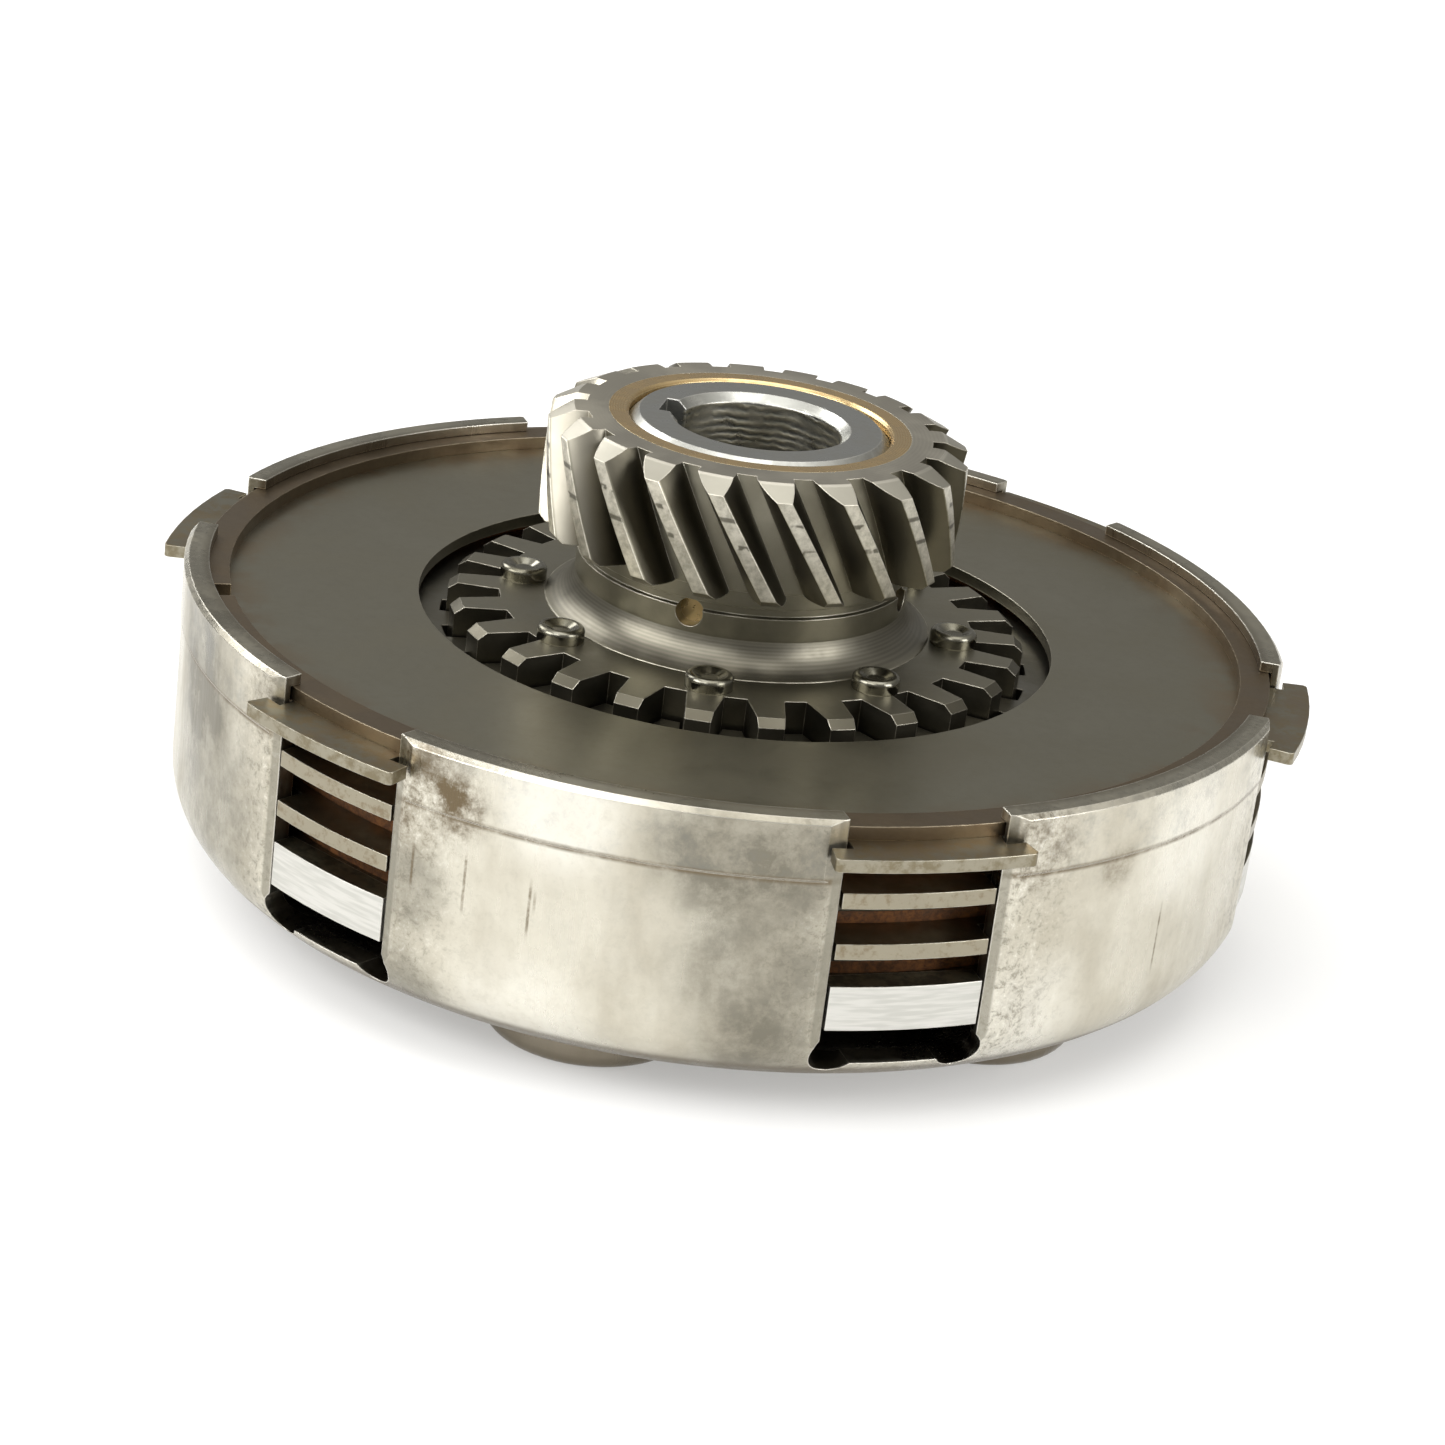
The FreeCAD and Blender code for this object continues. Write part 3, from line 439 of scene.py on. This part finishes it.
def plate_steel():
    def edge_film(g, color):
        side = g.span(g.math("ABSOLUTE", g.facing_up()), 0.6, 0.3)
        rust = g.span(g.noise(1.1 * MM, 5.0, 0.7), 0.50, 0.66)
        color = g.mix(side, color, (0.31, 0.28, 0.21))
        return g.mix(g.times(rust, 0.6), color, (0.18, 0.13, 0.07))
    return oiled_metal("plate_steel", (0.26, 0.23, 0.16), (0.17, 0.14, 0.09), (0.72, 0.69, 0.58),
                       blotch=4.0 * MM, extra=edge_film)


def core_steel():
    return oiled_metal("core_steel", (0.22, 0.21, 0.18), (0.13, 0.12, 0.09), (0.45, 0.42, 0.35))


def spring_steel():
    return oiled_metal("spring_steel", (0.26, 0.26, 0.26), (0.16, 0.15, 0.13), (0.42, 0.41, 0.38),
                       rough=(0.2, 0.35))


def friction():
    """Brown paper-like lining: a coarse fibre grain with dark oil in it."""
    g = Graph("friction")
    fibre = g.noise(0.6 * MM, 5.0, 0.75, warp=0.8)
    color = g.mix(g.span(fibre, 0.35, 0.65), (0.30, 0.12, 0.035), (0.12, 0.05, 0.02))
    oily = g.span(g.noise(4.0 * MM, 4.0, 0.6), 0.40, 0.65)
    color = g.mix(g.times(oily, 0.6), color, (0.06, 0.03, 0.015))
    edges = g.round_edges(0.1 * MM)
    return g.finish(color, g.span(oily, 0.0, 1.0, 0.75, 0.4), g.bump(fibre, 0.03 * MM, edges), 0.0)


def base_metal():
    """Bright machined lugs with a dark oily upper side."""
    g = Graph("base_metal")
    lines = g.noise(0.35 * MM, 2.0, 0.5, vector=g.stretched(0.08, 0.08, 1.0))
    color = g.mix(g.span(lines, 0.38, 0.62), (0.64, 0.63, 0.59), (0.56, 0.555, 0.515))
    dirt = g.span(g.noise(1.4 * MM, 5.0, 0.7), 0.42, 0.62)
    up = g.span(g.math("ABSOLUTE", g.facing_up()), 0.35, 0.7)
    color = g.mix(up, color, g.mix(dirt, (0.20, 0.18, 0.12), (0.11, 0.10, 0.07)))
    edges = g.round_edges(0.16 * MM)
    color = g.mix(g.times(g.wear(edges), 0.7), color, (0.85, 0.83, 0.76))
    gloss = g.span(lines, 0.3, 0.7, 0.34, 0.48)
    return g.finish(color, gloss, g.bump(lines, 0.006 * MM, edges))


def hub_steel():
    """Ground steel with a bright bevel and uneven tool marks down its bore."""
    g = Graph("hub_steel")
    cloud = g.noise(2.5 * MM, 4.0, 0.6)
    cloudy = g.span(cloud, 0.35, 0.65)
    color = g.mix(cloudy, (0.46, 0.47, 0.46), (0.36, 0.36, 0.34))
    bore = g.span(g.radius(), BORE_R + 0.2 * MM, BORE_R)
    wave = g.math("SINE", g.plus(g.times(g.z, 2.0 * math.pi / (0.8 * MM)),
                                 g.times(g.noise(4.0 * MM, 3.0), 14.0)))
    ridges = g.times(wave, g.span(g.noise(2.0 * MM, 4.0), 0.35, 0.65, 0.15, 1.0))
    color = g.mix(g.times(bore, g.span(ridges, -1.0, 1.0)), color, (0.72, 0.68, 0.56))
    edges = g.round_edges(0.2 * MM)
    bevel = g.times(g.span(g.facing_up(), 0.98, 0.85), g.span(g.facing_up(), 0.3, 0.5))
    color = g.mix(bevel, color, g.mix(cloudy, (0.58, 0.58, 0.54), (0.40, 0.40, 0.37)))
    color = g.mix(g.times(g.wear(edges), 0.8), color, (0.85, 0.84, 0.80))
    height = g.plus(g.times(bore, ridges), g.times(g.noise(0.3 * MM, 3.0), 0.2))
    return g.finish(color, g.span(cloud, 0.3, 0.7, 0.26, 0.38), g.bump(height, 0.02 * MM, edges))


def rivet_steel():
    return oiled_metal("rivet_steel", (0.26, 0.25, 0.21), (0.17, 0.16, 0.12), (0.85, 0.83, 0.75),
                       rough=(0.16, 0.30), blotch=2.5 * MM, edge=0.25 * MM, worn=0.6)


def bronze():
    """Turned bronze, golden where the tool left it bright."""
    g = Graph("bronze")
    marks = g.span(g.rings(0.25 * MM), -1.0, 1.0)
    cloud = g.span(g.noise(2.0 * MM, 4.0, 0.6), 0.35, 0.65)
    color = g.mix(cloud, (0.74, 0.52, 0.25), (0.52, 0.36, 0.17))
    color = g.mix(g.times(marks, 0.35), color, (0.88, 0.72, 0.42))
    edges = g.round_edges(0.12 * MM)
    color = g.mix(g.times(g.wear(edges), 0.8), color, (0.95, 0.80, 0.48))
    return g.finish(color, g.span(cloud, 0.0, 1.0, 0.2, 0.34), g.bump(marks, 0.01 * MM, edges))


def gear_steel():
    """The pinion's flanks carry painted shade where they face up and a middle tone where they face
    down; the spider is oily, with painted shade on its faces below its top.
    """
    # dark is the painted shade on the flanks and the spider's faces, and the colour of the rubbed
    # marks
    dark = (0.075, 0.068, 0.05)

    def pinion_tint(g, up, color):
        end = g.times(g.span(g.z, GEAR_TOP - 0.2 * MM, GEAR_TOP - 0.1 * MM), g.span(up, 0.7, 0.95))
        marks = g.span(g.rings(0.4 * MM), -1.0, 1.0, 0.0, 0.4)
        color = g.mix(end, color, g.mix(marks, (0.41, 0.385, 0.325), (0.49, 0.465, 0.395)))
        toothed = g.span(g.z, GEAR_TOP - TEETH_LONG - 0.5 * MM, GEAR_TOP - TEETH_LONG)
        flank = g.times(toothed, g.span(g.radius(), TIP_R - 0.05 * MM, TIP_R - 0.3 * MM))
        # the flanks that face up are darkened: painted shade
        painted_shade_flank = g.times(flank, g.span(up, 0.05, 0.30), g.span(up, 0.80, 0.65))
        color = g.mix(g.times(painted_shade_flank, 0.95), color, dark)
        driving = g.times(flank, g.span(up, -0.05, -0.30))
        color = g.mix(g.times(driving, 0.8), color, (0.26, 0.24, 0.19))
        # the teeth towards -X get a painted highlight: their flanks are lightened
        painted_highlight_teeth = g.times(flank, g.span(g.x, -9.0 * MM, -18.5 * MM))
        color = g.mix(g.times(painted_highlight_teeth, 0.9), color, (0.50, 0.47, 0.39))
        # two rubbed marks run round the tips of the teeth
        rubbed = 0.0
        for depth in (3.4, 5.9):
            rubbed = g.plus(g.span(g.apart(g.z, GEAR_TOP - depth * MM), 0.32 * MM, 0.12 * MM), rubbed)
        rubbed = g.times(rubbed, g.span(g.noise(1.6 * MM, 2.0), 0.42, 0.50), 0.8)
        tip = g.times(toothed, g.span(g.radius(), TIP_R - 0.12 * MM, TIP_R - 0.04 * MM))
        patchy = g.span(g.noise(0.8 * MM, 5.0, 0.7), 0.30, 0.75)
        polish = g.mix(patchy, (0.62, 0.59, 0.50), (0.34, 0.32, 0.26))
        color = g.mix(tip, color, g.mix(rubbed, polish, dark))
        # the chamfers at the tooth ends are bright ground metal, lightened further as a painted
        # highlight
        chamfer = g.times(g.span(g.z, GEAR_TOP - 2.6 * MM, GEAR_TOP - 1.8 * MM),
                          g.span(up, 0.54, 0.60), g.span(up, 0.93, 0.85))
        return g.mix(g.times(chamfer, 0.9), color, (0.93, 0.90, 0.80))

    def faces(g, color):
        up = g.facing_up()
        color = pinion_tint(g, up, color)
        # faces below the spider's top that do not look straight up are darkened: painted shade
        sides = g.times(g.span(g.z, CONE_LOW + 0.1 * MM, CONE_LOW - 0.05 * MM), g.span(up, 0.97, 0.85))
        color = g.mix(g.times(sides, 0.75), color, dark)
        # the band just above the spider is darkened, with turning marks: painted shade
        foot = g.times(g.span(g.z, CONE_LOW + 3.6 * MM, CONE_LOW + 2.4 * MM),
                       g.span(g.z, CONE_LOW - 0.1 * MM, CONE_LOW + 0.4 * MM))
        turned = g.span(g.math("SINE", g.times(g.z, 2.0 * math.pi / (0.3 * MM))), -1.0, 1.0)
        return g.mix(foot, color, g.mix(turned, (0.145, 0.136, 0.108), (0.18, 0.168, 0.134)))
    return oiled_metal("gear_steel", (0.27, 0.255, 0.20), (0.20, 0.185, 0.14), (0.78, 0.74, 0.63),
                       rough=(0.32, 0.46), blotch=9.0 * MM, edge=0.13 * MM, worn=0.7, extra=faces)


MAKERS = (basket_steel, dark_steel, brown_steel, plain_steel, plate_steel, core_steel, spring_steel,
          friction, base_metal, hub_steel, rivet_steel, bronze, gear_steel)


def dress_nodes(finishes):
    """Gives every CAD node the finish of its own slot."""
    for part in frame["record"]["subparts"]:
        node = frame["nodes"][part["node"]]
        if not node.material_slots:
            node.data.materials.append(None)
        for slot in node.material_slots:
            slot.material = finishes[part["material_slot"]]


# ---- springs: coil pieces that stand in for the CAD springs ----

def spring_mesh(name, low, high, middle):
    """A coil with a dead turn at each end, ground flat at low and high."""
    around, wire_sides = 56, 14
    steps = int(SPRING_TURNS * around)
    dead = 0.8 / SPRING_TURNS
    ground = 0.45 * SPRING_WIRE_R
    first, last = low + ground, high - ground
    builder = bmesh.new()
    rings = []
    for n in range(steps + 1):
        share = n / steps
        climb = min(max((share - dead * 0.5) / (1.0 - dead), 0.0), 1.0)
        angle = 2.0 * math.pi * SPRING_TURNS * share
        out = Vector((math.cos(angle), math.sin(angle), 0.0))
        centre = Vector((middle.x, middle.y, first + (last - first) * climb)) + out * SPRING_COIL_R
        ring = []
        for side in range(wire_sides):
            turn = 2.0 * math.pi * side / wire_sides
            spot = centre + out * (SPRING_WIRE_R * math.cos(turn))
            spot.z = min(max(spot.z + SPRING_WIRE_R * math.sin(turn), low), high)
            ring.append(builder.verts.new(spot))
        rings.append(ring)
    for ring, following in zip(rings, rings[1:]):
        for side in range(wire_sides):
            other = (side + 1) % wire_sides
            builder.faces.new((ring[side], following[side], following[other], ring[other]))
    builder.faces.new(list(reversed(rings[0])))
    builder.faces.new(rings[-1])
    bmesh.ops.recalc_face_normals(builder, faces=builder.faces)
    for face in builder.faces:
        face.smooth = True
    mesh = bpy.data.meshes.new(name)
    builder.to_mesh(mesh)
    builder.free()
    return mesh


def make_springs(finish):
    """Each spring stands on the basket and presses on the base plate, where its end is fixed."""
    for number in range(1, SPRING_COUNT + 1):
        node = "spring_%d" % number
        low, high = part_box(node)
        name = "coil_spring_%d" % number
        mesh = spring_mesh(name, low.z, high.z, (low + high) / 2)
        mesh.materials.append(finish)
        piece = bpy.data.objects.new(name, mesh)
        bpy.context.scene.collection.objects.link(piece)
        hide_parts(node)
        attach(piece, "hub")
        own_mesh(piece)


make_camera()
make_stage()
make_world()
for light in LIGHTS:
    make_light(*light)
bpy.context.scene.view_settings.view_transform = "Standard"
bpy.context.scene.view_settings.look = "None"

finishes = {maker.__name__: maker() for maker in MAKERS}
dress_nodes(finishes)
make_springs(finishes["spring_steel"])
